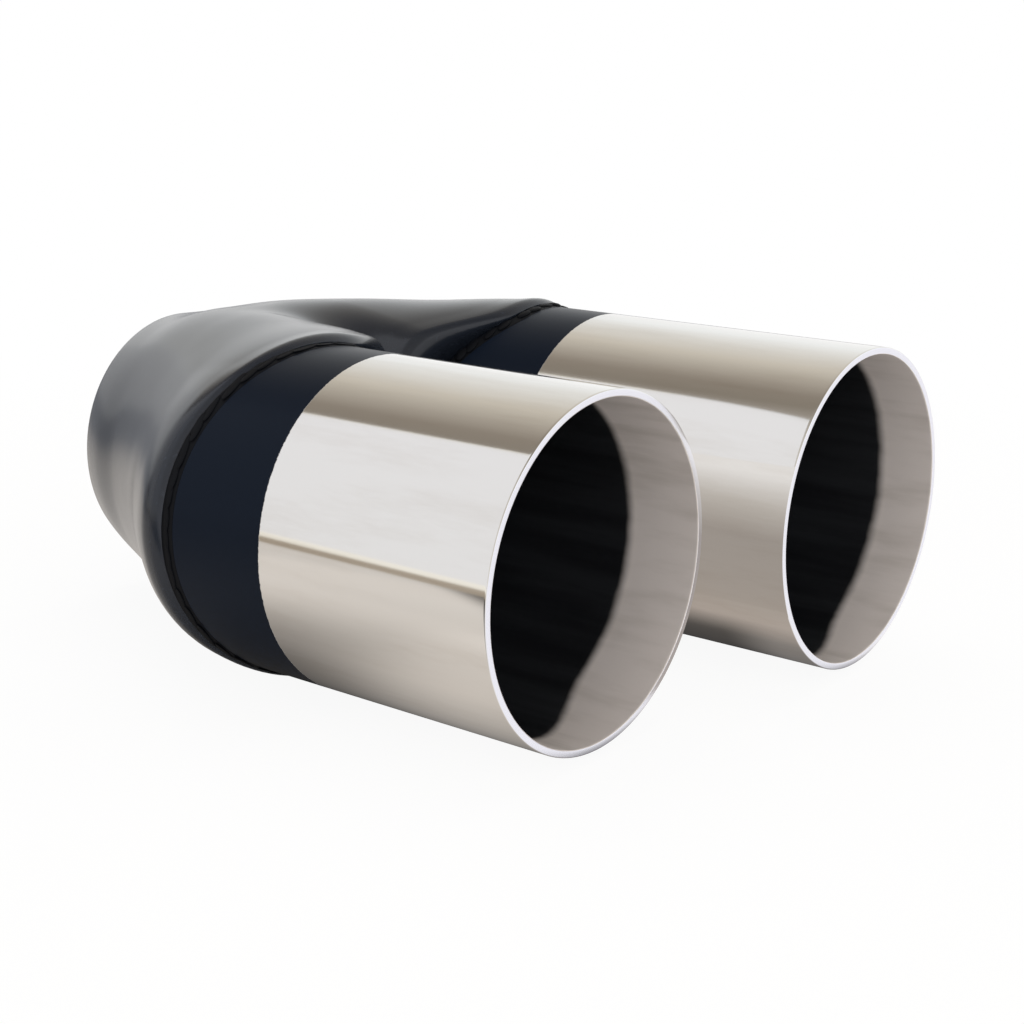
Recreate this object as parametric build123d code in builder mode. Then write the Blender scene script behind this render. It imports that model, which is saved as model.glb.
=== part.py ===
from build123d import *
import os
from math import radians, sqrt, tan

# Twin exhaust tip: a pressed sheet collector with two staggered outlet tubes welded into it.
# The origin is the centre of the inlet's open end. The mouths face -Y and +Z is up.
# "Ahead" is the distance from the inlet's end towards the mouths.

# Outlet tubes
tube_od = 76.2
tube_wall = 1.65
tube_gap = 6.8
short_reach = 171.0
stagger = 16.3
rim_bevel = 0.4
tube_insertion = 3.0
tube_clearance = 0.15
seat_step = 0.35

# Inlet, which slips over a 63.5 mm pipe. The land is the straight part of its bore.
inlet_bore = 63.9
inlet_land = 6.0
inlet_drop = 2.1

# Pressing and its lip
sheet = 1.65
lip_ahead = 92.5
lip_inset = 9.0
lip_fall_outside = 11.5
lip_fall_middle = 13.0
lip_slope = 14.0
curl_radius = 6.0
curl_drop = 0.45
trim_allowance = 10.0

# Weld beads
weld_leg = 3.0
weld_height = 1.0
weld_toe = 0.3
weld_crown = 1.0

tube_radius = tube_od / 2
tube_spacing = tube_od + tube_gap
tube_x = tube_spacing / 2
tube_bore_radius = tube_radius - tube_wall
long_reach = short_reach + stagger
socket_radius = tube_radius + tube_clearance
lobe_radius = socket_radius + sheet
inlet_radius = inlet_bore / 2 + sheet
front_half_width = tube_x + lobe_radius
trim_height = 2 * tube_od
curl_length = sqrt(2 * curl_radius * curl_drop - curl_drop**2)
curl_trim = curl_radius - curl_length

# Shape of the pressing from the lip, at 0, to the inlet's end, at 1. Each row gives the place and
# the shares of the way out from the inlet to the full half width and the full half height.
press_rows = [
    (-trim_allowance / lip_ahead, 1.00, 1.00),
    (0.000, 1.00, 1.00),
    (0.130, 0.995, 0.97),
    (0.305, 0.80, 0.84),
    (0.510, 0.52, 0.81),
    (0.718, 0.275, 0.64),
    (0.870, 0.14, 0.26),
    (0.946, 0.062, 0.10),
    (1.000, 0.00, 0.00),
]

# The lobes run round to the flank angle, and a saddle joins them over the middle. The saddle starts as
# a share of the lobes' height and is level with them at the saddle's end. The sections rise from the
# inlet's axis to the tubes' axes.
flank_front = 128.0
flank_rear = 60.0
merge_power = 0.8
saddle_share = 0.61
saddle_end = 0.653
rise_power = 1.6


def ease(share):
    """Smooth step from 0 to 1."""
    share = min(max(share, 0.0), 1.0)
    return share * share * (3 - 2 * share)


def press_section(place, width_share, height_share, inset):
    """One cross-section of the pressing: two round lobes with a saddle between them."""
    ahead = lip_ahead * (1 - place)
    back = max(place, 0.0)
    rise = inlet_drop * (1 - back**rise_power)
    half_width = inlet_radius + (front_half_width - inlet_radius) * width_share
    half_height = inlet_radius + (lobe_radius - inlet_radius) * height_share
    saddle = half_height * (saddle_share + (1 - saddle_share) * ease(back / saddle_end)) - inset
    lobe_x = tube_x * (1 - back**merge_power)
    lobe_width = half_width - lobe_x - inset
    lobe_height = half_height - inset
    flank = flank_front + (flank_rear - flank_front) * back
    with BuildSketch(Plane((0, -ahead, rise), x_dir=(1, 0, 0), z_dir=(0, -1, 0))) as section:
        with BuildLine():
            right = EllipticalCenterArc((lobe_x, 0), lobe_width, lobe_height, -flank, arc_size=2 * flank)
            left = EllipticalCenterArc((-lobe_x, 0), lobe_width, lobe_height, 180 - flank, arc_size=2 * flank)
            Spline(right @ 1, (0, saddle), left @ 0, tangents=[right % 1, left % 0])
            Spline(left @ 1, (0, -saddle), right @ 0, tangents=[left % 1, right % 0])
        make_face()
    return section.sketch


def lip_area(shift):
    """Plan area ahead of the lip line, moved back by shift. The line dips at both sides and in the middle."""
    reach = front_half_width + trim_allowance
    slope = tan(radians(lip_slope))
    crown_x = tube_x - lip_inset
    crown_y = shift - lip_ahead
    side_y = crown_y + lip_fall_outside + trim_allowance * slope
    front_y = -long_reach - trim_allowance
    with BuildSketch(Plane.XY.offset(-trim_height / 2)) as area:
        with BuildLine():
            Spline(
                (-reach, side_y),
                (-crown_x, crown_y),
                (0, crown_y + lip_fall_middle),
                (crown_x, crown_y),
                (reach, side_y),
                tangents=[(1, -slope), (1, 0), (1, 0), (1, 0), (1, slope)],
            )
            Polyline((reach, side_y), (reach, front_y), (-reach, front_y), (-reach, side_y))
        make_face()
    return area.sketch


# Outside of the collector as a solid form. The lip is curled in by a round that reaches past the lip
# line and is then trimmed to it.
with BuildPart() as outside:
    loft([press_section(*row, 0.0) for row in press_rows])
    extrude(lip_area(-curl_trim), amount=trim_height, mode=Mode.SUBTRACT)
    fillet(outside.faces().filter_by(GeomType.EXTRUSION).edges(), radius=curl_radius)
    extrude(lip_area(0), amount=trim_height, mode=Mode.SUBTRACT)

# The gas passage inside it, which stops one sheet behind the lip line. It is a little tighter than the
# sockets, so that each tube stops on a step.
with BuildPart() as passage:
    loft([press_section(*row, sheet + seat_step) for row in press_rows])
    split(bisect_by=Plane.XZ.offset(inlet_land), keep=Keep.TOP)
    with BuildSketch(Plane.XZ):
        Circle(inlet_bore / 2)
    extrude(amount=inlet_land)
    extrude(lip_area(sheet), amount=trim_height, mode=Mode.SUBTRACT)

# Room for both tubes
with BuildPart() as sockets:
    with BuildSketch(Plane.XZ):
        with Locations((-tube_x, inlet_drop), (tube_x, inlet_drop)):
            Circle(socket_radius)
    extrude(amount=long_reach)
    extrude(lip_area(tube_insertion + tube_clearance), amount=trim_height, mode=Mode.INTERSECT)

# The collector: the outside less the passage and the sockets
with BuildPart() as y_collector:
    add(outside.part)
    add(passage.part, mode=Mode.SUBTRACT)
    add(sockets.part, mode=Mode.SUBTRACT)


def outlet_tube(centre_x, reach):
    """A straight tube with a bevelled rim at its mouth and its hidden end cut to the lip line."""
    with BuildPart() as tube:
        with BuildSketch(Plane.XZ):
            with Locations((centre_x, inlet_drop)):
                Circle(tube_radius)
                Circle(tube_bore_radius, mode=Mode.SUBTRACT)
        extrude(amount=reach)
        chamfer(tube.faces().sort_by(Axis.Y)[0].edges(), length=rim_bevel)
        extrude(lip_area(tube_insertion), amount=trim_height, mode=Mode.INTERSECT)
    return tube


def weld_bead(centre_x):
    """A fillet of weld in the step between the collector's lip and a tube, as two mirrored halves."""
    level = Plane.XY.offset(inlet_drop)
    with BuildPart() as bead:
        with BuildSketch(Plane.XZ):
            with Locations((centre_x, inlet_drop)):
                Circle(tube_radius + weld_height)
                Circle(tube_radius, mode=Mode.SUBTRACT)
        extrude(amount=short_reach)
        extrude(lip_area(0), amount=trim_height, mode=Mode.INTERSECT)
        extrude(lip_area(-weld_leg), amount=trim_height, mode=Mode.SUBTRACT)
        split(bisect_by=level, keep=Keep.TOP)
        toe = bead.faces().filter_by(GeomType.EXTRUSION).sort_by(Axis.Y)[0]
        shoulder_edge = toe.edges().sort_by(SortBy.LENGTH)[-1]
        chamfer(shoulder_edge, length=weld_height - weld_toe, length2=weld_leg - weld_crown, reference=toe)
        mirror(about=level)
    return bead


outlet_tube_short = outlet_tube(-tube_x, short_reach)
outlet_tube_long = outlet_tube(tube_x, long_reach)
weld_bead_short = weld_bead(-tube_x)
weld_bead_long = weld_bead(tube_x)

os.makedirs("parts", exist_ok=True)
y_collector.part.label = "y_collector"
export_step(y_collector.part, "parts/y_collector.step")
outlet_tube_short.part.label = "outlet_tube_short"
export_step(outlet_tube_short.part, "parts/outlet_tube_short.step")
outlet_tube_long.part.label = "outlet_tube_long"
export_step(outlet_tube_long.part, "parts/outlet_tube_long.step")
weld_bead_short.part.label = "weld_bead_short"
export_step(weld_bead_short.part, "parts/weld_bead_short.step")
weld_bead_long.part.label = "weld_bead_long"
export_step(weld_bead_long.part, "parts/weld_bead_long.step")
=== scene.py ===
import math
import random

import bmesh
import bpy
from mathutils import Matrix, Vector


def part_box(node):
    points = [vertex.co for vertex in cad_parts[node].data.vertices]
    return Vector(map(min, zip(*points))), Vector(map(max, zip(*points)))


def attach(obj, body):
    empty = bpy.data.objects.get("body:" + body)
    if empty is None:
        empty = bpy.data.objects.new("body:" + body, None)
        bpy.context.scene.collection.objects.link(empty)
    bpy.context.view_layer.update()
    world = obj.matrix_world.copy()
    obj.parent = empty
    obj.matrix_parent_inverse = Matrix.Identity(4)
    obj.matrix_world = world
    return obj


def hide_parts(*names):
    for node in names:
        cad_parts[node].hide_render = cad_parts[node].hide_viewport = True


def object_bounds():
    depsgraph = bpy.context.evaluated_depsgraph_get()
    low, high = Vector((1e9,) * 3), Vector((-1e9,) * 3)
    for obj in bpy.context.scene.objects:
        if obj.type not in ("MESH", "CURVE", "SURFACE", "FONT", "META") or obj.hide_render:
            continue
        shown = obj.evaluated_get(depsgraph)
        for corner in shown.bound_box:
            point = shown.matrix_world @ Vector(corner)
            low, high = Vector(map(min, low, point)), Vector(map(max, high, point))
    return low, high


# Twin exhaust tip in satin black paint and polished steel, on a white floor in a light tent.
# Lengths are in metres. The mouths face -Y, the inlet's open end is at Y = 0 and +Z is up.

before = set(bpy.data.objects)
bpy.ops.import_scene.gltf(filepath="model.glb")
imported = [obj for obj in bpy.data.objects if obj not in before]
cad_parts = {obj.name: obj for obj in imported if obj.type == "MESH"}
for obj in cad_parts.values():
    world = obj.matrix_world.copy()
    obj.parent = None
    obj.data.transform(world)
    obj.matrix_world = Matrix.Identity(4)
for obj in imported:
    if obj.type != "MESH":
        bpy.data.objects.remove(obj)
cad_low, cad_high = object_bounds()

# Sizes read from the frame
lip_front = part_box("y_collector")[0].y
short_low, short_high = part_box("outlet_tube_short")
long_low, long_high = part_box("outlet_tube_long")
tube_radius = (short_high.x - short_low.x) / 2
tube_x = (long_low.x + long_high.x) / 2
tube_z = (long_low.z + long_high.z) / 2
tube_centre = {"short": -tube_x, "long": tube_x}
tube_mouth = {"short": short_low.y, "long": long_low.y}

# Sheet metal, and how each tube sits in its socket
SHEET = 0.00165
TUBE_WALL = 0.00165
RIM_ROUND = 0.0003
EDGE_ROUND = 0.0004
SEAT_GAP = 0.00015
SEAT_STEP = 0.00035
TUBE_INSERTION = 0.003

# Inlet, and the lip line in plan, which is looked for between two places of the pressing
INLET_RADIUS = 0.0336
INLET_BORE = 0.03195
INLET_LAND = 0.006
LIP_INSET = 0.009
LIP_FALL_OUTSIDE = 0.0115
LIP_FALL_MIDDLE = 0.013
LIP_SLOPE = math.tan(math.radians(14.0))
LIP_ALLOWANCE = 0.010
LIP_SEARCH = (-0.12, 0.35)
LIP_HALVINGS = 40

# Curl of the lip, and the swell behind it: a low bead at the crowns and a fuller band at the flanks
CURL_RADIUS = 0.0032
CURL_TURN = math.radians(57.0)
CROWN_SWELL = 0.0004
CROWN_LENGTH = 0.008
FLANK_SWELL = 0.0013
FLANK_PEAK = 0.0055
FLANK_LENGTH = 0.030

# Sections of the pressing, from the lip at place 0 to the inlet's end at place 1. The lobes run round to
# the flank angle, in degrees, and a saddle joins them over the middle. Each press row gives its place and
# the shares of the way out from the inlet to the full half width and the full half height.
FLANK_FRONT = 128.0
FLANK_REAR = 60.0
MERGE_POWER = 0.8
RISE_POWER = 1.6
SADDLE_SHARE = 0.61
SADDLE_END = 0.653
WEB_BLEND = 0.25
PRESS_ROWS = [
    (-0.108, 1.00, 1.00),
    (0.000, 1.00, 1.00),
    (0.130, 0.995, 0.97),
    (0.305, 0.80, 0.84),
    (0.510, 0.52, 0.81),
    (0.718, 0.275, 0.64),
    (0.870, 0.14, 0.26),
    (0.946, 0.062, 0.1),
    (1.000, 0.00, 0.00),
]

# Weld beads. A point of the section is a share of the leg, ahead of the lip, and one of the height. The
# ripples sit on the crest, at this pitch times a seeded spread, and vary between two shares of their size.
WELD_LEG = 0.003
WELD_HEIGHT = 0.0010
WELD_SECTION = [
    (0.0, 0.0), (0.0, 0.34), (0.06, 0.40), (0.20, 0.36), (0.38, 0.29),
    (0.58, 0.20), (0.78, 0.11), (0.93, 0.05), (1.0, 0.0),
]
WELD_CREST = 4
RIPPLE_PITCH = {"short": 0.0050, "long": 0.0055}
RIPPLE_SPREAD = (0.7, 1.3)
RIPPLE_SIZES = {
    "short": {"Length": 0.0075, "Width": 0.0020, "Height": 0.0004, "Seed": 3},
    "long": {"Length": 0.0052, "Width": 0.0026, "Height": 0.0010, "Seed": 8},
}
RIPPLE_SMALLEST = (0.85, 0.80, 0.65)
RIPPLE_LARGEST = (1.20, 1.15, 1.30)

# Paint: where it ends on each tube's outside, and how deep the bare band inside each mouth is. The band is
# narrower low on the left: the loss grows from one angle round the tube and fades towards the other.
PAINT_EDGE = {"short": -0.111, "long": -0.112}
BARE_DEPTH = {"short": 0.0178, "long": 0.0136}
BARE_LOSS = {"short": 0.0085, "long": 0.0065}
LOSS_START = math.radians(90)
LOSS_GROWS = 1.0
LOSS_END = math.radians(305)
LOSS_FADES = math.radians(50)

floor_z = cad_low.z - CROWN_SWELL
socket_radius = tube_radius + SEAT_GAP
lobe_radius = socket_radius + SHEET
front_half_width = tube_x + lobe_radius
press_length = -lip_front
curl_length = CURL_RADIUS * math.sin(CURL_TURN)

# Steps of the meshes. A quarter of a section has steps on the lobe and then on the saddle. One more ring
# close to each rim, at this share of the tube, keeps the shading straight up to it.
LOBE_STEPS = 40
SADDLE_STEPS = 24
QUARTER = LOBE_STEPS + SADDLE_STEPS
COLUMNS = 4 * QUARTER
CURL_ROWS = 14
BODY_ROWS = 84
PASSAGE_ROWS = 48
EDGE_STEPS = 3
TUBE_COLUMNS = 288
TUBE_ROWS = 40
RIM_STEPS = 4
RIM_HOLD = 0.997
TENT_STEPS = 48
PANEL_STEPS = 24
RIPPLE_SEGMENTS = 14
RIPPLE_RINGS = 8
SAME_POINT = 1e-7
NO_LENGTH = 1e-8


def ease(share):
    """Smooth step from 0 to 1."""
    share = min(max(share, 0.0), 1.0)
    return share * share * (3 - 2 * share)


def hermite(start, end, leave, arrive, t):
    """A cubic from start to end with these slopes at its ends."""
    return (
        start * (1 + 2 * t) * (1 - t) ** 2
        + leave * t * (1 - t) ** 2
        + end * t * t * (3 - 2 * t)
        + arrive * t * t * (t - 1)
    )


def through_rows(place, column):
    """A smooth curve through one column of the press rows."""
    last = len(PRESS_ROWS) - 1
    i = max(k for k in range(last) if PRESS_ROWS[k][0] <= place or k == 0)

    def slope(k):
        low = PRESS_ROWS[max(k - 1, 0)]
        high = PRESS_ROWS[min(k + 1, last)]
        return (high[column] - low[column]) / (high[0] - low[0])

    near, far = PRESS_ROWS[i], PRESS_ROWS[i + 1]
    span = far[0] - near[0]
    t = (place - near[0]) / span
    return hermite(near[column], far[column], slope(i) * span, slope(i + 1) * span, t)


def quarter_point(place, step, inset):
    """A point of the upper right quarter of a section, from the lobe's side at step 0 to the saddle's
    middle. The saddle leaves the lobe along it and is level in the middle, as a spline through three
    points is."""
    back = min(max(place, 0.0), 1.0)
    half_width = INLET_RADIUS + (front_half_width - INLET_RADIUS) * through_rows(place, 1)
    half_height = INLET_RADIUS + (lobe_radius - INLET_RADIUS) * through_rows(place, 2)
    lobe_x = tube_x * (1 - back**MERGE_POWER)
    width = half_width - lobe_x - inset
    height = half_height - inset
    flank = math.radians(FLANK_FRONT + (FLANK_REAR - FLANK_FRONT) * back)
    angle = flank * min(step / LOBE_STEPS, 1.0)
    on_lobe = Vector((lobe_x + width * math.cos(angle), height * math.sin(angle)))
    if step <= LOBE_STEPS:
        return on_lobe
    saddle = half_height * (SADDLE_SHARE + (1 - SADDLE_SHARE) * ease(back / SADDLE_END)) - inset
    middle = Vector((0.0, saddle))
    across = Vector((-on_lobe.x, on_lobe.y))
    pull = ((4 * middle - 3 * on_lobe - across) / 2).length
    leave = Vector((-width * math.sin(flank), height * math.cos(flank))).normalized() * pull
    arrive = Vector((3 * (across.x - on_lobe.x) - 2 * leave.x, 0.0)) / 4
    return hermite(on_lobe, middle, leave, arrive, (step - LOBE_STEPS) / SADDLE_STEPS)


def lip_y(x):
    """The lip line in plan: a crown near each tube's axis, and dips between them and at both sides."""
    crown_x = tube_x - LIP_INSET
    x = abs(x)
    if x < crown_x:
        return lip_front + LIP_FALL_MIDDLE * (1 - ease(x / crown_x))
    span = front_half_width + LIP_ALLOWANCE - crown_x
    fall = LIP_FALL_OUTSIDE + LIP_ALLOWANCE * LIP_SLOPE
    return lip_front + hermite(0.0, fall, 0.0, LIP_SLOPE * span, (x - crown_x) / span)


def press_y(place):
    """Y of a section of the pressing."""
    return lip_front + place * press_length


def press_rise(place):
    """Height of a section's centre: the lobes sit above the inlet's axis."""
    return tube_z * (1 - max(place, 0.0) ** RISE_POWER)


def curl_point(turn):
    """Distance behind the lip line and inset where the curl has turned in by this angle."""
    return curl_length - CURL_RADIUS * math.sin(turn), CURL_RADIUS * (1 - math.cos(turn))


def lip_place(step, inset):
    """The place where one column of the pressing meets the lip line."""
    low, high = LIP_SEARCH
    for _ in range(LIP_HALVINGS):
        middle = (low + high) / 2
        if press_y(middle) < lip_y(quarter_point(middle, step, inset).x):
            low = middle
        else:
            high = middle
    return (low + high) / 2


def whole_ring(quarter):
    """A closed ring from the points of its upper right quarter, each (x, y, z, height of the centre)."""
    ring = []
    for column in range(COLUMNS):
        turn, step = divmod(column, QUARTER)
        x, y, z, rise = quarter[step if turn % 2 == 0 else QUARTER - step]
        side = 1 if turn in (0, 3) else -1
        up = 1 if turn < 2 else -1
        ring.append((side * x, y, rise + up * z))
    return ring


def flank_share(step, lips):
    """How much of the flank's band a column has: all of it at the lobe's side, none from the top on."""
    return ease(lips[step] / lips[0]) ** 2 if step < LOBE_STEPS / 2 else 0.0


def lip_swell(behind, flank):
    """How far the pressing stands out behind the lip: a low bead at the crowns and a fuller band at the
    flanks, by the column's share of the flank."""
    bead = CROWN_SWELL * (1 - ease(behind / CROWN_LENGTH))
    fall = ease((behind - FLANK_PEAK) / (FLANK_LENGTH - FLANK_PEAK))
    band = FLANK_SWELL * ease(behind / FLANK_PEAK) * (1 - fall)
    return bead + (band - bead) * flank


def press_ring(places, inset, lips=None):
    """A ring on the pressing, with a place for each step of a quarter. With the lip's places given, it
    swells towards the lip."""
    quarter = []
    for step, place in enumerate(places):
        swell = 0.0
        if lips:
            swell = lip_swell((place - lips[step]) * press_length, flank_share(step, lips))
        point = quarter_point(place, step, inset - swell)
        quarter.append((point.x, press_y(place), point.y, press_rise(place)))
    return whole_ring(quarter)


def circle_ring(radius, y):
    """A ring at the inlet's end."""
    quarter = []
    for step in range(QUARTER + 1):
        point = quarter_point(1.0, step, 0.0).normalized() * radius
        quarter.append((point.x, y, point.y, 0.0))
    return whole_ring(quarter)


def socket_ring(behind_lobe, behind_saddle):
    """Both sockets' circles at these distances behind the lip line, joined by the middle of the web."""
    quarter = []
    for step in range(QUARTER):
        saddle_share = max(step - LOBE_STEPS, 0) / (SADDLE_STEPS - 1)
        angle = FLANK_FRONT * min(step / LOBE_STEPS, 1.0) + (180 - FLANK_FRONT) * saddle_share
        x = tube_x + socket_radius * math.cos(math.radians(angle))
        z = socket_radius * math.sin(math.radians(angle))
        behind = behind_lobe + (behind_saddle - behind_lobe) * ease(saddle_share / WEB_BLEND)
        quarter.append((x, lip_y(x) + behind, z, tube_z))
    quarter.append((0.0, lip_y(0.0) + behind_saddle, 0.0, tube_z))
    return whole_ring(quarter)


def new_piece(name, points, faces, material):
    """A smooth mesh object with its doubled points merged."""
    mesh = bpy.data.meshes.new(name)
    made = bmesh.new()
    spots = [made.verts.new(p) for p in points]
    for face in faces:
        made.faces.new([spots[i] for i in face]).smooth = True
    bmesh.ops.remove_doubles(made, verts=made.verts, dist=SAME_POINT)
    bmesh.ops.dissolve_degenerate(made, edges=made.edges, dist=NO_LENGTH)
    made.to_mesh(mesh)
    made.free()
    mesh.materials.append(material)
    piece = bpy.data.objects.new(name, mesh)
    bpy.context.scene.collection.objects.link(piece)
    return piece


def ring_faces(count, near, far, skip=()):
    """Quads from one closed ring of points to the next, with their outside away from the axis."""
    faces = []
    for column in range(count):
        after = (column + 1) % count
        if column not in skip and after not in skip:
            faces.append((near + column, far + column, far + after, near + after))
    return faces


def tube_faces(count):
    """Quads of a closed profile round a tube. Its rings run from the back to the mouth on the outside, so
    the quads are turned round."""
    faces = []
    for k in range(count):
        near, far = k * TUBE_COLUMNS, (k + 1) % count * TUBE_COLUMNS
        faces += [face[::-1] for face in ring_faces(TUBE_COLUMNS, near, far)]
    return faces


def make_collector(material):
    """The pressing as one closed shell: outside, inlet end, passage and the web between the sockets."""
    steps = range(QUARTER + 1)
    outer_lip = [lip_place(step, curl_point(CURL_TURN)[1]) for step in steps]
    inner_inset = SHEET + SEAT_STEP
    inner_lip = [lip_place(step, inner_inset) for step in steps]
    rings = []

    # Curl of the lip, from its edge back to where it leaves the body
    for k in range(CURL_ROWS + 1):
        behind, inset = curl_point(CURL_TURN * (1 - k / CURL_ROWS))
        places = [place + behind / press_length for place in outer_lip]
        rings.append(press_ring(places, inset, outer_lip))

    # Lobes and saddle, drawn in to the inlet's rounded end
    start = curl_length / press_length
    end = 1 - EDGE_ROUND / press_length
    for k in range(1, BODY_ROWS + 1):
        share = k / BODY_ROWS
        places = [p + start + (end - p - start) * share for p in outer_lip]
        rings.append(press_ring(places, 0.0, outer_lip))
    for k in range(1, EDGE_STEPS + 1):
        angle = math.radians(90 * k / EDGE_STEPS)
        y = -EDGE_ROUND * (1 - math.sin(angle))
        rings.append(circle_ring(INLET_RADIUS - EDGE_ROUND * (1 - math.cos(angle)), y))
    for k in range(EDGE_STEPS + 1):
        angle = math.radians(90 * k / EDGE_STEPS)
        y = -EDGE_ROUND * (1 - math.cos(angle))
        rings.append(circle_ring(INLET_BORE + EDGE_ROUND * (1 - math.sin(angle)), y))
    rings.append(circle_ring(INLET_BORE, -INLET_LAND))

    # Passage, from the inlet's land to the sockets
    seat = (TUBE_INSERTION + SEAT_GAP) / press_length
    end = 1 - INLET_LAND / press_length
    for k in range(PASSAGE_ROWS + 1):
        share = 1 - k / PASSAGE_ROWS
        places = [p + seat + (end - p - seat) * share for p in inner_lip]
        rings.append(press_ring(places, inner_inset))
    rings.append(socket_ring(TUBE_INSERTION + SEAT_GAP, SHEET))
    rings.append(socket_ring(0.0, 0.0))

    points = [point for ring in rings for point in ring]
    faces = []
    last = len(rings) - 1
    for k in range(last):
        middles = (QUARTER, 3 * QUARTER) if k == last - 1 else ()
        faces += ring_faces(COLUMNS, k * COLUMNS, (k + 1) * COLUMNS, middles)
    faces += ring_faces(COLUMNS, last * COLUMNS, 0)
    return new_piece("collector_body", points, faces, material)


def make_tube(side, material):
    """A straight tube with a rounded rim. Three attributes say how far past the paint's edge a point lies,
    and whether it is on the inside or on the rim's flat."""
    mouth = tube_mouth[side]
    bore = tube_radius - TUBE_WALL
    shares = [k / TUBE_ROWS for k in range(TUBE_ROWS)] + [RIM_HOLD, 1.0]
    corner = []
    for k in range(1, RIM_STEPS + 1):
        angle = math.radians(90 * k / RIM_STEPS)
        corner.append((math.sin(angle) * RIM_ROUND, RIM_ROUND * (1 - math.cos(angle))))
    points, marks = [], []

    def bare_edge(angle):
        """Where the bare band inside the mouth ends."""
        low = ease((LOSS_END - angle) / LOSS_FADES) * ease((angle - LOSS_START) / LOSS_GROWS)
        return mouth + BARE_DEPTH[side] - BARE_LOSS[side] * low

    def add_ring(radius, share, ahead, inside, rim=False):
        for column in range(TUBE_COLUMNS):
            angle = 2 * math.pi * column / TUBE_COLUMNS
            x = tube_centre[side] + radius * math.cos(angle)
            z = tube_z + radius * math.sin(angle)
            start = lip_y(x) + TUBE_INSERTION
            y = start + (mouth + RIM_ROUND - start) * share - ahead
            edge = bare_edge(angle) if inside else PAINT_EDGE[side]
            points.append((x, y, z))
            marks.append((y - edge, float(inside), float(rim)))

    for share in shares:
        add_ring(tube_radius, share, 0.0, False)
    for ahead, inset in corner:
        add_ring(tube_radius - inset, 1.0, ahead, False, inset > RIM_ROUND / 2)
    for ahead, inset in reversed(corner):
        add_ring(bore + inset, 1.0, ahead, True, inset > RIM_ROUND / 2)
    for share in reversed(shares):
        add_ring(bore, share, 0.0, True)

    faces = tube_faces(len(points) // TUBE_COLUMNS)
    piece = new_piece(f"tube_{side}", points, faces, material)
    for k, key in enumerate(("past_paint_edge", "inside", "rim")):
        mark = piece.data.attributes.new(key, "FLOAT", "POINT")
        mark.data.foreach_set("value", [m[k] for m in marks])
    return piece


def srgb(red, green, blue):
    """A linear colour from screen values out of 255."""
    linear = []
    for value in (red, green, blue):
        share = value / 255
        linear.append(share / 12.92 if share < 0.04045 else ((share + 0.055) / 1.055) ** 2.4)
    return (*linear, 1.0)


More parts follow.
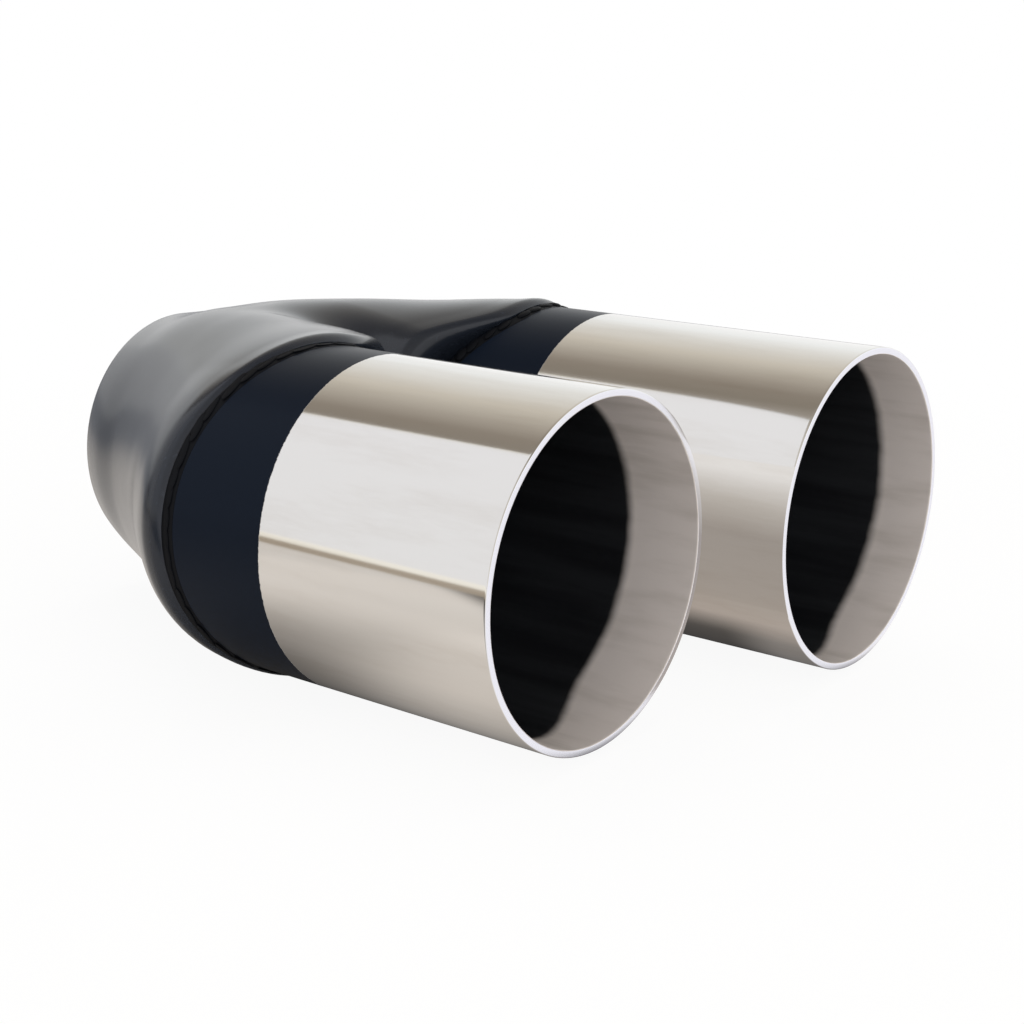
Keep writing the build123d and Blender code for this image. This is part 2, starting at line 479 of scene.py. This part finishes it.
class Nodes:
    """Short calls for building one node tree."""

    def __init__(self, tree):
        self.tree = tree
        tree.nodes.clear()

    def add(self, kind, inputs=None, **settings):
        node = self.tree.nodes.new(kind)
        for key, value in settings.items():
            setattr(node, key, value)
        for key, value in (inputs or {}).items():
            self.put(node, key, value)
        return node

    def put(self, node, key, value):
        """Links a socket to an input, or sets the input to a plain value."""
        if isinstance(value, bpy.types.NodeSocket):
            self.tree.links.new(value, node.inputs[key])
        else:
            node.inputs[key].default_value = value

    def place(self):
        """The point on the object."""
        return self.add("ShaderNodeTexCoord").outputs["Object"]

    def parts(self, vector):
        return self.add("ShaderNodeSeparateXYZ", {0: vector}).outputs

    def height(self):
        """Height above the floor."""
        return self.math("SUBTRACT", self.parts(self.place())["Z"], floor_z)

    def mark(self, name):
        """A number that the mesh carries."""
        return self.add("ShaderNodeAttribute", attribute_name=name).outputs["Fac"]

    def math(self, operation, *values):
        return self.add("ShaderNodeMath", dict(enumerate(values)), operation=operation).outputs[0]

    def mix(self, share, a, b):
        """Colour a where share is 0 and b where it is 1."""
        node = self.add("ShaderNodeMix", data_type="RGBA")
        self.put(node, 0, share)
        self.put(node, 6, a)
        self.put(node, 7, b)
        return node.outputs[2]

    def lerp(self, share, a, b):
        """Number a where share is 0 and b where it is 1."""
        node = self.add("ShaderNodeMix", data_type="FLOAT")
        self.put(node, 0, share)
        self.put(node, 2, a)
        self.put(node, 3, b)
        return node.outputs[0]

    def step(self, value, low, high):
        """0 below low and 1 above high, smooth between."""
        inputs = {"Value": value, "From Min": low, "From Max": high}
        node = self.add("ShaderNodeMapRange", inputs, interpolation_type="SMOOTHSTEP")
        return node.outputs[0]

    def fade(self, value, low, high):
        """1 below low and 0 above high, smooth between."""
        return self.math("SUBTRACT", 1.0, self.step(value, low, high))

    def noise(self, vector, scale, detail, rough=0.55):
        inputs = {"Vector": vector, "Scale": scale, "Detail": detail, "Roughness": rough}
        return self.add("ShaderNodeTexNoise", inputs).outputs["Fac"]

    def drawn_noise(self, vector, across, along, detail, rough=0.55):
        """Noise drawn out along the tubes, with its scale across them and along them."""
        drawn = self.add("ShaderNodeMapping", {"Vector": vector, "Scale": (across, along, across)})
        return self.noise(drawn.outputs[0], 1.0, detail, rough)

    def bump(self, height, strength, distance):
        inputs = {"Height": height, "Strength": strength, "Distance": distance}
        return self.add("ShaderNodeBump", inputs).outputs[0]

    def ramp(self, value, shades):
        """Colours by value, from (place between 0 and 1, colour) pairs."""
        node = self.add("ShaderNodeValToRGB", {"Fac": value})
        marks = node.color_ramp.elements
        while len(marks) < len(shades):
            marks.new(1.0)
        for mark, (place, colour) in zip(marks, shades):
            mark.position = place
            mark.color = colour
        return node.outputs[0]

    def ray_kinds(self):
        """1 for a ray straight from the camera, and 1 for one that comes by way of polish or glass."""
        path = self.add("ShaderNodeLightPath").outputs
        mirrored = self.math("MAXIMUM", path["Is Glossy Ray"], path["Is Transmission Ray"])
        return path["Is Camera Ray"], mirrored

    def surface(self, shader):
        """Ends a material's tree with this shader."""
        self.add("ShaderNodeOutputMaterial", {"Surface": shader.outputs[0]})

    def glow(self, colour):
        """Ends a material's tree with plain light of this colour."""
        self.surface(self.add("ShaderNodeEmission", {"Color": colour, "Strength": 1.0}))


def new_material(name):
    material = bpy.data.materials.new(name)
    material.use_nodes = True
    return material, Nodes(material.node_tree)


# Finishes. A pair is the value in the smoothest places and in the roughest.
PAINT_BLACK = (0.0120, 0.0152, 0.0225, 1.0)
# The weld's black is darker than the body's paint: a painted shade in the step between lip and tube
WELD_SHADE_BLACK = (0.0040, 0.0045, 0.0060, 1.0)
TUBE_BLACK = (0.0045, 0.0080, 0.0160, 1.0)
SOOT_BLACK = (0.0130, 0.0140, 0.0160, 1.0)
SOOT_DARK = (0.0060, 0.0063, 0.0075, 1.0)
STEEL = (0.87, 0.855, 0.83, 1.0)
STEEL_CLOUD = (0.81, 0.785, 0.75, 1.0)
BARE_STEEL = (0.66, 0.61, 0.585, 1.0)
BARE_STAIN = (0.55, 0.505, 0.475, 1.0)
# The rim's flat is lighter and bluer than the polish: a painted highlight
RIM_HIGHLIGHT_STEEL = (0.93, 0.93, 0.975, 1.0)
DUST_LIGHTER = 1.8
GLOSS_CHANGE = 0.05
POLISH_ROUGH = (0.06, 0.11)
BARE_ROUGH = (0.45, 0.60)
BARE_METALLIC = 0.25
RIM_ROUGH = 0.25
TUBE_BLACK_ROUGH = 0.31
SOOT_ROUGH = 0.55
TUBE_GLOSS = 0.06


def satin_paint(name, black, roughness, gloss, coat):
    """Satin black paint: fine orange peel, a little dust in the colour and uneven gloss."""
    material, n = new_material(name)
    place = n.place()
    dust = n.step(n.noise(place, scale=900.0, detail=2.0), low=0.62, high=0.80)
    dusty = tuple(DUST_LIGHTER * c for c in black[:3]) + (1.0,)
    cloud = n.noise(place, scale=45.0, detail=5.0)
    peel = n.noise(place, scale=1400.0, detail=2.0)
    n.surface(n.add("ShaderNodeBsdfPrincipled", {
        "Base Color": n.mix(dust, black, dusty),
        "Roughness": n.lerp(cloud, roughness - GLOSS_CHANGE, roughness + GLOSS_CHANGE),
        "Specular IOR Level": gloss,
        "Coat Weight": coat,
        "Coat Roughness": roughness - GLOSS_CHANGE,
        "Normal": n.bump(peel, strength=0.02, distance=0.0001),
    }))
    return material


def tube_finish():
    """Polished steel with black paint behind the paint's edge. Inside the mouth it is bare rolled steel,
    and sooty black further in. The rim's flat is a lighter, bluer steel: a painted highlight."""
    material, n = new_material("polished_and_painted_steel")
    place = n.place()
    past = n.mark("past_paint_edge")
    inside = n.mark("inside")
    rim = n.step(n.mark("rim"), low=0.3, high=0.7)

    def past_edge(scale, detail, width, soft):
        """1 past the paint's edge, which wanders by this width and is this soft."""
        wander = n.math("SUBTRACT", n.noise(place, scale, detail), 0.5)
        return n.step(n.math("MULTIPLY_ADD", wander, width, past), -soft, soft)

    edge_outside = past_edge(scale=1500.0, detail=3.0, width=0.0005, soft=0.00012)
    edge_inside = past_edge(scale=120.0, detail=2.0, width=0.0014, soft=0.0016)
    painted = n.lerp(inside, edge_outside, edge_inside)

    streaks = n.drawn_noise(place, across=700.0, along=14.0, detail=5.0)
    clouds = n.drawn_noise(place, across=110.0, along=16.0, detail=6.0, rough=0.65)
    stains = n.drawn_noise(place, across=170.0, along=30.0, detail=4.0)
    smears = n.drawn_noise(place, across=130.0, along=9.0, detail=5.0)
    polish = n.mix(n.step(clouds, low=0.42, high=0.72), STEEL, STEEL_CLOUD)
    rolled = n.mix(n.step(stains, low=0.42, high=0.75), BARE_STEEL, BARE_STAIN)
    soot = n.mix(n.step(smears, low=0.35, high=0.70), SOOT_DARK, SOOT_BLACK)

    bare = n.math("MULTIPLY", inside, n.math("SUBTRACT", 1.0, rim))
    # On the rim's flat the lighter, bluer steel is a painted highlight
    steel_colour_and_rim_highlight = n.mix(rim, n.mix(inside, polish, rolled), RIM_HIGHLIGHT_STEEL)
    steel_rough = n.lerp(inside, n.lerp(streaks, *POLISH_ROUGH), n.lerp(streaks, *BARE_ROUGH))
    steel_rough = n.lerp(rim, steel_rough, RIM_ROUGH)
    paint_rough = n.lerp(inside, TUBE_BLACK_ROUGH, SOOT_ROUGH)
    n.surface(n.add("ShaderNodeBsdfPrincipled", {
        "Base Color": n.mix(painted, steel_colour_and_rim_highlight, n.mix(inside, TUBE_BLACK, soot)),
        "Metallic": n.lerp(painted, n.lerp(bare, 1.0, BARE_METALLIC), 0.0),
        "Roughness": n.lerp(painted, steel_rough, paint_rough),
        "Specular IOR Level": TUBE_GLOSS,
        "Normal": n.bump(streaks, strength=0.012, distance=0.0002),
    }))
    return material


def ripple_tree(material):
    """Weld ripples: a squashed bead at each marked point of the fillet, with a seeded change of size."""
    tree = bpy.data.node_groups.new("weld_ripples", "GeometryNodeTree")
    face = tree.interface
    face.new_socket("Geometry", in_out="INPUT", socket_type="NodeSocketGeometry")
    for key, value in RIPPLE_SIZES["short"].items():
        kind = "NodeSocketInt" if key == "Seed" else "NodeSocketFloat"
        face.new_socket(key, in_out="INPUT", socket_type=kind).default_value = value
    face.new_socket("Geometry", in_out="OUTPUT", socket_type="NodeSocketGeometry")
    n = Nodes(tree)
    given = n.add("NodeGroupInput").outputs

    def carried(name, kind):
        """A value that the fillet's points carry."""
        node = n.add("GeometryNodeInputNamedAttribute", {"Name": name}, data_type=kind)
        return node.outputs["Attribute"]

    spots = n.add("GeometryNodeMeshToPoints", {
        "Mesh": given["Geometry"], "Selection": carried("ripple", "BOOLEAN"),
    }).outputs[0]
    ball = n.add("GeometryNodeMeshUVSphere", {
        "Segments": RIPPLE_SEGMENTS, "Rings": RIPPLE_RINGS, "Radius": 0.5,
    }).outputs["Mesh"]
    ball = n.add("GeometryNodeSetShadeSmooth", {"Geometry": ball}).outputs[0]
    stand = n.add("FunctionNodeAlignRotationToVector", {
        "Vector": carried("outward", "FLOAT_VECTOR"),
    }, axis="Z")
    turn = n.add("FunctionNodeAlignRotationToVector", {
        "Rotation": stand.outputs[0], "Vector": carried("ahead", "FLOAT_VECTOR"),
    }, axis="Y", pivot_axis="Z")
    size = n.add("ShaderNodeCombineXYZ", {
        "X": given["Length"], "Y": given["Width"], "Z": given["Height"],
    }).outputs[0]
    chance = n.add("FunctionNodeRandomValue", {"Seed": given["Seed"]}, data_type="FLOAT_VECTOR")
    chance.inputs["Min"].default_value = RIPPLE_SMALLEST
    chance.inputs["Max"].default_value = RIPPLE_LARGEST
    scale = n.add("ShaderNodeVectorMath", {0: size, 1: chance.outputs["Value"]}, operation="MULTIPLY")
    beads = n.add("GeometryNodeInstanceOnPoints", {
        "Points": spots, "Instance": ball, "Rotation": turn.outputs[0], "Scale": scale.outputs[0],
    }).outputs[0]
    beads = n.add("GeometryNodeRealizeInstances", {"Geometry": beads}).outputs[0]
    join = n.add("GeometryNodeJoinGeometry")
    for source in (beads, given["Geometry"]):
        tree.links.new(source, join.inputs[0])
    done = n.add("GeometryNodeSetMaterial", {"Geometry": join.outputs[0], "Material": material})
    n.add("NodeGroupOutput", {"Geometry": done.outputs[0]})
    return tree


def apply_tree(piece, tree, values):
    """Runs a geometry tree on a piece with these named inputs and keeps the result as a plain mesh."""
    modifier = piece.modifiers.new(tree.name, "NODES")
    modifier.node_group = tree
    for item in tree.interface.items_tree:
        if item.in_out == "INPUT" and item.name in values:
            modifier[item.identifier] = values[item.name]
    graph = bpy.context.evaluated_depsgraph_get()
    mesh = bpy.data.meshes.new_from_object(piece.evaluated_get(graph))
    piece.modifiers.clear()
    piece.data = mesh


def make_bead(side, tree, material):
    """A fillet of weld in the step between the lip and a tube, with ripples along it."""
    sizes = RIPPLE_SIZES[side]
    pitch = TUBE_COLUMNS * RIPPLE_PITCH[side] / (2 * math.pi * tube_radius)
    chance = random.Random(sizes["Seed"])
    marked, at = set(), 0.0
    while at < TUBE_COLUMNS - 0.5:
        marked.add(round(at))
        at += pitch * chance.uniform(*RIPPLE_SPREAD)
    points, ripple, outward = [], [], []
    for across, (ahead, height) in enumerate(WELD_SECTION):
        for column in range(TUBE_COLUMNS):
            angle = 2 * math.pi * column / TUBE_COLUMNS
            out = Vector((math.cos(angle), 0.0, math.sin(angle)))
            base = out * (tube_radius + WELD_HEIGHT * height)
            x = tube_centre[side] + base.x
            points.append((x, lip_y(x) - WELD_LEG * ahead, tube_z + base.z))
            ripple.append(across == WELD_CREST and column in marked)
            outward.extend(out)
    piece = new_piece(f"bead_{side}", points, tube_faces(len(WELD_SECTION)), material)
    towards_mouth = [0.0, -1.0, 0.0] * len(points)
    attributes = piece.data.attributes
    attributes.new("ripple", "BOOLEAN", "POINT").data.foreach_set("value", ripple)
    attributes.new("outward", "FLOAT_VECTOR", "POINT").data.foreach_set("vector", outward)
    attributes.new("ahead", "FLOAT_VECTOR", "POINT").data.foreach_set("vector", towards_mouth)
    apply_tree(piece, tree, sizes)
    return piece


# Camera, with its angles in degrees and its lens in millimetres
CAMERA_PLACE = (-0.327298, -0.367392, 0.106068)
CAMERA_HEADING = 52.433
CAMERA_DIP = 14.733
CAMERA_ROLL = 0.862
CAMERA_LENS = 62.59
CAMERA_SENSOR = 36.0

# Lamps: place, side of the square and power
OBJECT_MIDDLE = (0.0, -0.10, 0.0)
TOP_LAMP = ((0.2, 0.1, 1.6), 1.6, 12.0)
FRONT_LAMP = ((-0.55, -1.10, 0.45), 1.0, 8.0)

# In the studio, colours are screen values out of 255, and a pair of lengths is where a change starts and
# ends. Only these two and the floor's cloth are linear.
WHITE = (1.0, 1.0, 1.0, 1.0)
ROOM_GREY = (0.75, 0.75, 0.75, 1.0)

# Tent: a half tube along Y, with its shades by degrees from the top, and its back cloth by height
TENT_RADIUS = 2.0
TENT_FRONT, TENT_BACK = -3.0, 4.0
TENT_SHADES = [
    (-90, (225, 222, 218)), (-35, (200, 195, 188)), (-8, (138, 130, 119)), (2, (145, 136, 125)),
    (29, (208, 201, 189)), (67, (247, 249, 249)), (90, (255, 255, 255)),
]
BACK_RISE = (0.0, 1.2)
BACK_LOW = (200, 201, 203)
BACK_HIGH = (230, 231, 232)

# Side panel: X and height of its foot and top. Its front edge is a curve, with one Y at the foot and one
# at the top, that two powers flatten towards the top.
PANEL_FOOT = (-0.35, 0.0)
PANEL_TOP = (-0.133, 0.70)
PANEL_BACK = 2.5
PANEL_FRONT_FOOT, PANEL_FRONT_TOP = -0.16, 0.35
PANEL_FLATTEN, PANEL_BEND = 2.84, 1.12
PANEL_RISE = (0.0, 0.6)
PANEL_LOW = (238, 238, 240)
PANEL_HIGH = (240, 240, 243)
SKIRT_RISE = (0.05, 0.20)
SKIRT_BACK = (0.20, 0.60)
SKIRT_GREY = (110, 112, 116)
EDGE_RISE = (0.684, 0.688)
EDGE_CREAM = (255, 250, 238)
LINE_RISE = (0.033, 0.038)
LINE_CREAM = (252, 248, 238)
FOOT_RISE = (0.018, 0.022)
FOOT_BROWN = (166, 154, 138)

# Card in the gap between the tubes, a glowing sheet that shows only in the polish as a painted reflection,
# with its shades by Z
CARD_FRONT, CARD_BACK = -0.196, -0.088
CARD_TOP = 0.0194
CARD_FRONT_TOP = 0.0240
CARD_REFLECTION_SHADES = [
    (-0.0378, (170, 161, 153)), (0.001, (164, 157, 151)), (0.0104, (200, 195, 190)),
    (0.0194, (239, 237, 236)),
]

# Floor as the camera sees it: its cloth takes a small share near the object, for the shadow
FLOOR_SIZE = 12.0
FLOOR_CLOTH = (0.88, 0.87, 0.86, 1.0)
FLOOR_WHITE = 0.93
FLOOR_PLAIN = (0.16, 0.45)

# Floor as the polish shows it, with a painted shadow: its painted shade lies between the lip and the
# mouths, by the distance from the middle, and its strength changes along Y under both tubes, under the
# long one and in a band beside them.
SHADE_REACH = 0.35
FLOOR_PAINTED_SHADES = [
    (0.0, (155, 147, 140)), (0.0095, (160, 151, 144)), (0.020, (108, 104, 101)), (0.0415, (72, 71, 71)),
    (0.078, (172, 166, 160)), (0.140, (218, 212, 206)), (0.35, (238, 234, 229)),
]
UNDER_BOTH = (0.060, 0.115)
UNDER_BOTH_ALONG, UNDER_BOTH_STRENGTH = (-0.150, -0.088), (1.30, 0.45)
UNDER_LONG = (0.008, 0.024)
UNDER_LONG_ALONG, UNDER_LONG_STRENGTH = (-0.176, -0.158), (1.3, 0.45)
BAND_INNER, BAND_OUTER = (0.045, 0.065), (0.12, 0.15)
BAND_ALONG, BAND_STRENGTH = (-0.135, -0.105), (1.25, 1.10)

# Outside the painted shade it is lit behind the lip and ahead of the mouths, by Y, with a painted grey far
# behind, and a painted dark patch past a slanting line in front
BEHIND_LIP = (-0.085, -0.030)
AHEAD_OF_MOUTHS = (-0.184, -0.169)
LONG_SIDE = (-0.01, 0.01)
LIT_AHEAD = (244, 243, 246)
LIT_CHANGES = [
    ((-0.140, -0.110), (224, 218, 212)),
    ((0.000, 0.040), (218, 213, 208)),
    ((0.12, 0.40), (150, 152, 157)),
]
CORNER_SLANT = 0.92
CORNER_PAST = (-0.290, -0.258)
CORNER_ALONG = (-0.195, -0.155)
CORNER_STRENGTH = 0.15


def make_camera():
    """The camera at the photograph's viewing angle."""
    camera = bpy.data.objects.new("camera", bpy.data.cameras.new("camera"))
    bpy.context.scene.collection.objects.link(camera)
    camera.data.sensor_width = CAMERA_SENSOR
    camera.data.lens = CAMERA_LENS
    camera.matrix_world = (
        Matrix.Translation(CAMERA_PLACE)
        @ Matrix.Rotation(math.radians(-CAMERA_HEADING), 4, "Z")
        @ Matrix.Rotation(math.radians(90 - CAMERA_DIP), 4, "X")
        @ Matrix.Rotation(math.radians(CAMERA_ROLL), 4, "Z")
    )
    bpy.context.scene.camera = camera


def stage_sheet(name, points, faces, material, seen=True):
    """A piece of the studio. One that is not seen shows only in the polish and lights the object."""
    sheet = new_piece(name, points, faces, material)
    sheet.visible_camera = seen
    return sheet


def painted_floor_in_polish(n, place):
    """Colour and strength of the floor as the polish shows it: painted shade under and beside the tubes, a
    painted grey far behind and a painted dark patch in front.
    """
    parts = n.parts(place)
    x, y = parts["X"], parts["Y"]
    aside = n.math("ABSOLUTE", x)
    # Painted shade under the tubes, by the distance from the middle
    shade = n.ramp(n.math("DIVIDE", aside, SHADE_REACH), [
        (reach / SHADE_REACH, srgb(*colour)) for reach, colour in FLOOR_PAINTED_SHADES
    ])
    band = n.math("MULTIPLY", n.step(aside, *BAND_INNER), n.fade(aside, *BAND_OUTER))
    strength = 1.0
    for where, along, change in (
        (n.fade(aside, *UNDER_BOTH), UNDER_BOTH_ALONG, UNDER_BOTH_STRENGTH),
        (n.step(x, *UNDER_LONG), UNDER_LONG_ALONG, UNDER_LONG_STRENGTH),
        (band, BAND_ALONG, BAND_STRENGTH),
    ):
        here = n.lerp(n.step(y, *along), *change)
        strength = n.math("MULTIPLY", strength, n.lerp(where, 1.0, here))

    # The long tube's side is moved back by the stagger, so that both mouths are at one place
    level = n.math("MULTIPLY_ADD", n.step(x, *LONG_SIDE), short_low.y - long_low.y, y)
    outside = n.math("MAXIMUM", n.step(y, *BEHIND_LIP), n.fade(level, *AHEAD_OF_MOUTHS))
    lit = srgb(*LIT_AHEAD)
    for along, colour in LIT_CHANGES:
        lit = n.mix(n.step(y, *along), lit, srgb(*colour))

    # Painted dark patch past a slanting line in front
    slant = n.math("MULTIPLY_ADD", x, CORNER_SLANT, y)
    corner = n.math("MULTIPLY", n.fade(slant, *CORNER_PAST), n.step(y, *CORNER_ALONG))
    strength = n.lerp(corner, n.lerp(outside, strength, 1.0), CORNER_STRENGTH)
    return n.mix(outside, shade, lit), strength


def floor_material():
    """White sweep that keeps the object's soft shadow and is plain white further out. In the polish it
    glows instead, with a painted shade under and beside the tubes."""
    material, n = new_material("white_floor")
    place = n.place()
    camera, mirrored = n.ray_kinds()
    colour, strength = painted_floor_in_polish(n, place)
    away = n.add("ShaderNodeVectorMath", {0: place, 1: OBJECT_MIDDLE}, operation="DISTANCE")
    plain = n.lerp(n.step(away.outputs["Value"], *FLOOR_PLAIN), FLOOR_WHITE, 1.0)
    cloth = n.add("ShaderNodeBsdfDiffuse", {"Color": FLOOR_CLOTH})
    # For polish rays this glows in the painted shade, at its painted strength
    white = n.add("ShaderNodeEmission", {
        "Color": n.mix(mirrored, WHITE, colour),
        "Strength": n.lerp(mirrored, 1.0, strength),
    })
    share = n.math("MAXIMUM", n.math("MULTIPLY", camera, plain), mirrored)
    n.surface(n.add("ShaderNodeMixShader", {0: share, 1: cloth.outputs[0], 2: white.outputs[0]}))
    return material


def tent_material():
    """Soft light of the tent's cloth, dim and warm overhead and brighter and cooler to the right."""
    material, n = new_material("tent_cloth")
    parts = n.parts(n.place())
    lean = n.math("ARCTAN2", parts["X"], parts["Z"])
    share = n.math("MULTIPLY_ADD", lean, 1 / math.pi, 0.5)
    n.glow(n.ramp(share, [(0.5 + degrees / 180, srgb(*colour)) for degrees, colour in TENT_SHADES]))
    return material


def back_material():
    """The tent's back cloth, greyer towards the floor."""
    material, n = new_material("back_cloth")
    n.glow(n.mix(n.step(n.height(), *BACK_RISE), srgb(*BACK_LOW), srgb(*BACK_HIGH)))
    return material


def reflection_card_material():
    """Grey card that glows in the gap between the tubes and shows only in the polish: a painted
    reflection, lighter towards its top.
    """
    material, n = new_material("grey_reflection_card")
    reach = CARD_TOP - floor_z
    share = n.math("DIVIDE", n.height(), reach)
    n.glow(n.ramp(share, [((z - floor_z) / reach, srgb(*colour)) for z, colour in CARD_REFLECTION_SHADES]))
    return material


def panel_material():
    """White panel with a cream top edge, a cream line over a brown foot, and a grey skirt at the back."""
    material, n = new_material("white_panel")
    height = n.height()
    shade = n.mix(n.step(height, *PANEL_RISE), srgb(*PANEL_LOW), srgb(*PANEL_HIGH))
    back = n.step(n.parts(n.place())["Y"], *SKIRT_BACK)
    skirt = n.math("MULTIPLY", n.fade(height, *SKIRT_RISE), back)
    shade = n.mix(skirt, shade, srgb(*SKIRT_GREY))
    shade = n.mix(n.step(height, *EDGE_RISE), shade, srgb(*EDGE_CREAM))
    shade = n.mix(n.step(height, *LINE_RISE), srgb(*LINE_CREAM), shade)
    shade = n.mix(n.step(height, *FOOT_RISE), srgb(*FOOT_BROWN), shade)
    n.glow(shade)
    return material


def make_studio():
    """Floor, tent with its back cloth, side panel and the card between the tubes, a painted reflection."""
    half = FLOOR_SIZE / 2
    corners = [(x * half, y * half, floor_z) for x, y in ((-1, -1), (1, -1), (1, 1), (-1, 1))]
    stage_sheet("floor", corners, [(0, 1, 2, 3)], floor_material())

    points, faces = [], []
    for k in range(TENT_STEPS + 1):
        lean = math.pi * (k / TENT_STEPS - 0.5)
        x, z = TENT_RADIUS * math.sin(lean), floor_z + TENT_RADIUS * math.cos(lean)
        points += [(x, TENT_FRONT, z), (x, TENT_BACK, z)]
        if k < TENT_STEPS:
            faces.append((2 * k, 2 * k + 1, 2 * k + 3, 2 * k + 2))
    stage_sheet("tent", points, faces, tent_material(), seen=False)
    back = points[1::2]
    stage_sheet("back_cloth", back, [tuple(range(len(back)))], back_material(), seen=False)

    outline = [(PANEL_BACK, 0.0)]
    for k in range(PANEL_STEPS + 1):
        along = k / PANEL_STEPS
        y = PANEL_FRONT_FOOT + (PANEL_FRONT_TOP - PANEL_FRONT_FOOT) * along
        outline.append((y, (1 - (1 - along) ** PANEL_FLATTEN) ** PANEL_BEND))
    outline.append((PANEL_BACK, 1.0))
    points = []
    for y, share in outline:
        x = PANEL_FOOT[0] + (PANEL_TOP[0] - PANEL_FOOT[0]) * share
        z = floor_z + PANEL_FOOT[1] + (PANEL_TOP[1] - PANEL_FOOT[1]) * share
        points.append((x, y, z))
    stage_sheet("side_panel", points, [tuple(range(len(points)))], panel_material(), seen=False)

    points = [
        (0.0, CARD_FRONT, floor_z), (0.0, CARD_BACK, floor_z),
        (0.0, CARD_BACK, CARD_TOP), (0.0, CARD_FRONT, CARD_FRONT_TOP),
    ]
    # The card glows only in the polish, a painted reflection that lights nothing and casts no shadow
    card = stage_sheet("gap_reflection_card", points, [(0, 1, 2, 3)], reflection_card_material(), seen=False)
    card.visible_diffuse = False
    card.visible_shadow = False


def make_lamp(name, place, size, power):
    """Soft square light for matt surfaces, aimed at the object. It does not show in the polish."""
    light = bpy.data.lights.new(name, "AREA")
    light.shape = "SQUARE"
    light.size = size
    light.energy = power
    lamp = bpy.data.objects.new(name, light)
    aim = Vector(OBJECT_MIDDLE) - Vector(place)
    lamp.matrix_world = Matrix.Translation(place) @ aim.to_track_quat("-Z", "Y").to_matrix().to_4x4()
    lamp.visible_glossy = False
    lamp.visible_camera = False
    bpy.context.scene.collection.objects.link(lamp)


def make_world():
    """A room that is white to the camera and in the polish, and a little dimmer as light."""
    world = bpy.data.worlds.new("white_room")
    bpy.context.scene.world = world
    world.use_nodes = True
    n = Nodes(world.node_tree)
    colour = n.mix(n.math("MAXIMUM", *n.ray_kinds()), ROOM_GREY, WHITE)
    light = n.add("ShaderNodeBackground", {"Color": colour, "Strength": 1.0})
    n.add("ShaderNodeOutputWorld", {"Surface": light.outputs[0]})


body_paint = satin_paint("satin_black_paint", PAINT_BLACK, roughness=0.22, gloss=0.30, coat=0.30)
# The weld's darker black is a painted shade in the step between lip and tube
weld_paint = satin_paint("painted_weld_in_shade", WELD_SHADE_BLACK, roughness=0.50, gloss=0.08, coat=0.0)
steel = tube_finish()
ripples = ripple_tree(weld_paint)

collector = make_collector(body_paint)
short_tube = make_tube("short", steel)
long_tube = make_tube("long", steel)
short_bead = make_bead("short", ripples, weld_paint)
long_bead = make_bead("long", ripples, weld_paint)

for piece, node, slot in (
    (collector, "y_collector", "collector_paint"),
    (short_tube, "outlet_tube_short", "tube_steel"),
    (long_tube, "outlet_tube_long", "tube_steel"),
    (short_bead, "weld_bead_short", "weld_paint"),
    (long_bead, "weld_bead_long", "weld_paint"),
):
    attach(piece, "root")
    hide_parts(node)

make_studio()
make_lamp("top_light", *TOP_LAMP)
make_lamp("front_light", *FRONT_LAMP)
make_world()
make_camera()
bpy.context.scene.view_settings.view_transform = "Standard"
